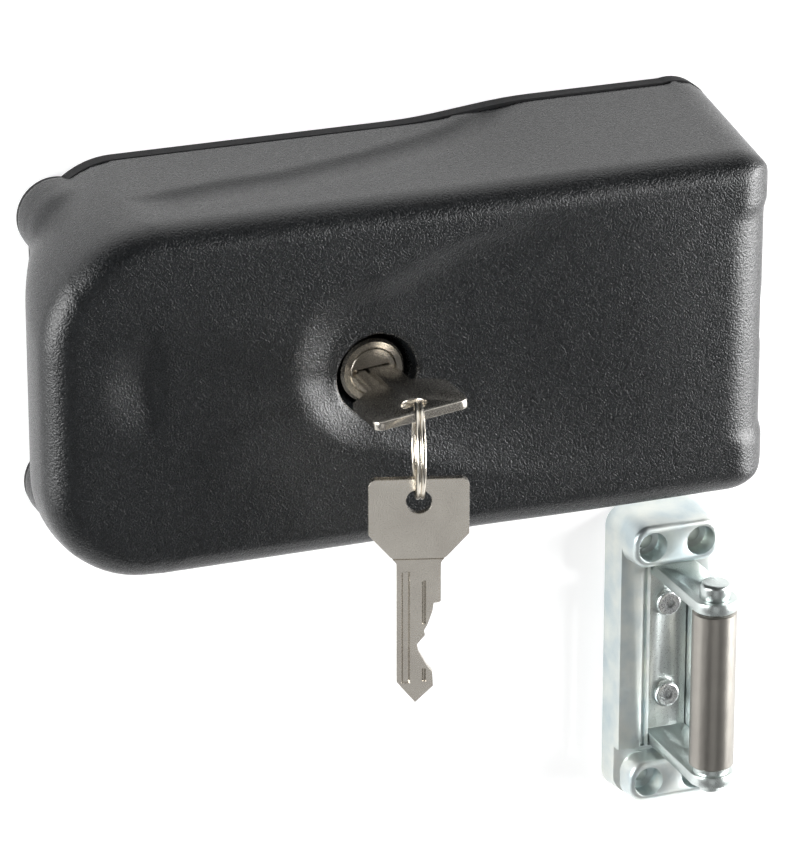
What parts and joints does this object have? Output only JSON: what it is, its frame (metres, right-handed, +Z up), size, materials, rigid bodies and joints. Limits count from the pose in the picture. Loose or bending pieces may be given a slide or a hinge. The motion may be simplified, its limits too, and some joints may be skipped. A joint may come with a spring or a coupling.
{
  "type": "surface electric gate lock",
  "caption": "Surface-mounted electric lock with swinging hook bolt, key cylinder with keys on a ring, and adjustable roller strike.",
  "frame": {"origin": "centre of the four wall fixing holes, on the mounting plane at the lock's back", "axes": "+Y into the wall, +X along the lock towards the hook end, +Z up"},
  "size_m": [0.2003, 0.0913, 0.2026],
  "materials": {
    "case_enamel": "fine-textured charcoal enamel on the die-cast case",
    "seal": "black rubber, matt",
    "zinc_plate": "bright zinc plating",
    "bare_steel": "plain steel, machined",
    "spring_steel": "drawn spring wire",
    "copper": "lacquered copper winding",
    "black_plastic": "moulded black plastic",
    "cream_plastic": "moulded cream plastic",
    "nickel": "satin nickel plating",
    "cylinder_nickel": "nickel-plated brass",
    "roller_steel": "turned stainless steel, ground"
  },
  "bodies": {
    "lock": {"base_plate": "zinc_plate", "cover_tabs": "zinc_plate", "cover_gasket": "seal", "cover": "case_enamel", "cover_screws": "zinc_plate", "frame_screws": "zinc_plate", "bolt_bracket": "zinc_plate", "bolt_pin": "bare_steel", "bolt_pin_clip": "spring_steel", "bolt_spring": "spring_steel", "catch_pin": "bare_steel", "catch_pin_clip": "spring_steel", "catch_spring": "spring_steel", "coil_bobbin": "black_plastic", "coil_winding": "copper", "coil_yoke": "zinc_plate", "plunger_spring": "spring_steel", "slide_guides": "bare_steel", "cylinder_bracket": "zinc_plate", "cylinder_body": "cylinder_nickel", "cylinder_screws": "zinc_plate", "terminal_block": "cream_plastic", "terminal_screws": "zinc_plate", "cable_grommet": "seal", "strike_base": "zinc_plate"},
    "hook": {"hook_bolt": "bare_steel"},
    "catch": {"catch_lever": "bare_steel"},
    "puller": {"plunger": "bare_steel", "pull_link": "zinc_plate"},
    "slide": {"release_slide": "zinc_plate"},
    "plug": {"cylinder_plug": "cylinder_nickel", "plug_cam": "bare_steel"},
    "key": {"key": "nickel"},
    "ring": {"key_ring": "nickel"},
    "spare_key": {"spare_key": "nickel"},
    "strike_bracket": {"strike_bracket": "zinc_plate", "strike_axle": "zinc_plate", "strike_washer": "zinc_plate", "strike_adjust_screws": "zinc_plate"},
    "strike_roller": {"strike_roller": "roller_steel"}
  },
  "joints": [
    {"name": "key_turn", "type": "hinge", "parent": "lock", "child": "plug", "pos_m": [-0.017, -0.046, 0], "axis": [0, 1, 0], "range_deg": [0, 60]},
    {"name": "release_slide", "type": "slide", "parent": "lock", "child": "slide", "axis": [-1, 0, 0], "range_m": [0, 0.0045]},
    {"name": "catch_swing", "type": "hinge", "parent": "lock", "child": "catch", "pos_m": [0.05, -0.012, 0], "axis": [0, 0, -1], "range_deg": [0, 14.05]},
    {"name": "plunger_pull", "type": "slide", "parent": "lock", "child": "puller", "axis": [-1, 0, 0], "range_m": [0, 0.00376]},
    {"name": "hook_swing", "type": "hinge", "parent": "lock", "child": "hook", "pos_m": [0.0815, -0.037, 0], "axis": [0, 0, -1], "range_deg": [0, 90]},
    {"name": "key_withdraw", "type": "slide", "parent": "plug", "child": "key", "axis": [0, -1, 0], "range_m": [0, 0.034]},
    {"name": "ring_swing", "type": "hinge", "parent": "key", "child": "ring", "pos_m": [-0.01826, -0.07968, 0], "axis": [-0.309, -0.9511, 0], "range_deg": [-12, 12]},
    {"name": "spare_key_swing", "type": "hinge", "parent": "ring", "child": "spare_key", "pos_m": [-0.01826, -0.07968, -0.02035], "axis": [-0.309, -0.9511, 0], "range_deg": [-20, 20]},
    {"name": "strike_adjust", "type": "slide", "parent": "lock", "child": "strike_bracket", "axis": [0, -1, 0], "range_m": [0, 0.004]},
    {"name": "roller_spin", "type": "hinge", "parent": "strike_bracket", "child": "strike_roller", "pos_m": [0.084, -0.036, -0.108], "axis": [0, 0, 1], "continuous": true}
  ],
  "couplings": [
    {"joint": "key_turn", "follows": "release_slide", "rad_per_m": 232.71},
    {"joint": "catch_swing", "follows": "release_slide", "rad_per_m": 54.299},
    {"joint": "plunger_pull", "follows": "release_slide", "ratio": 0.83109}
  ]
}
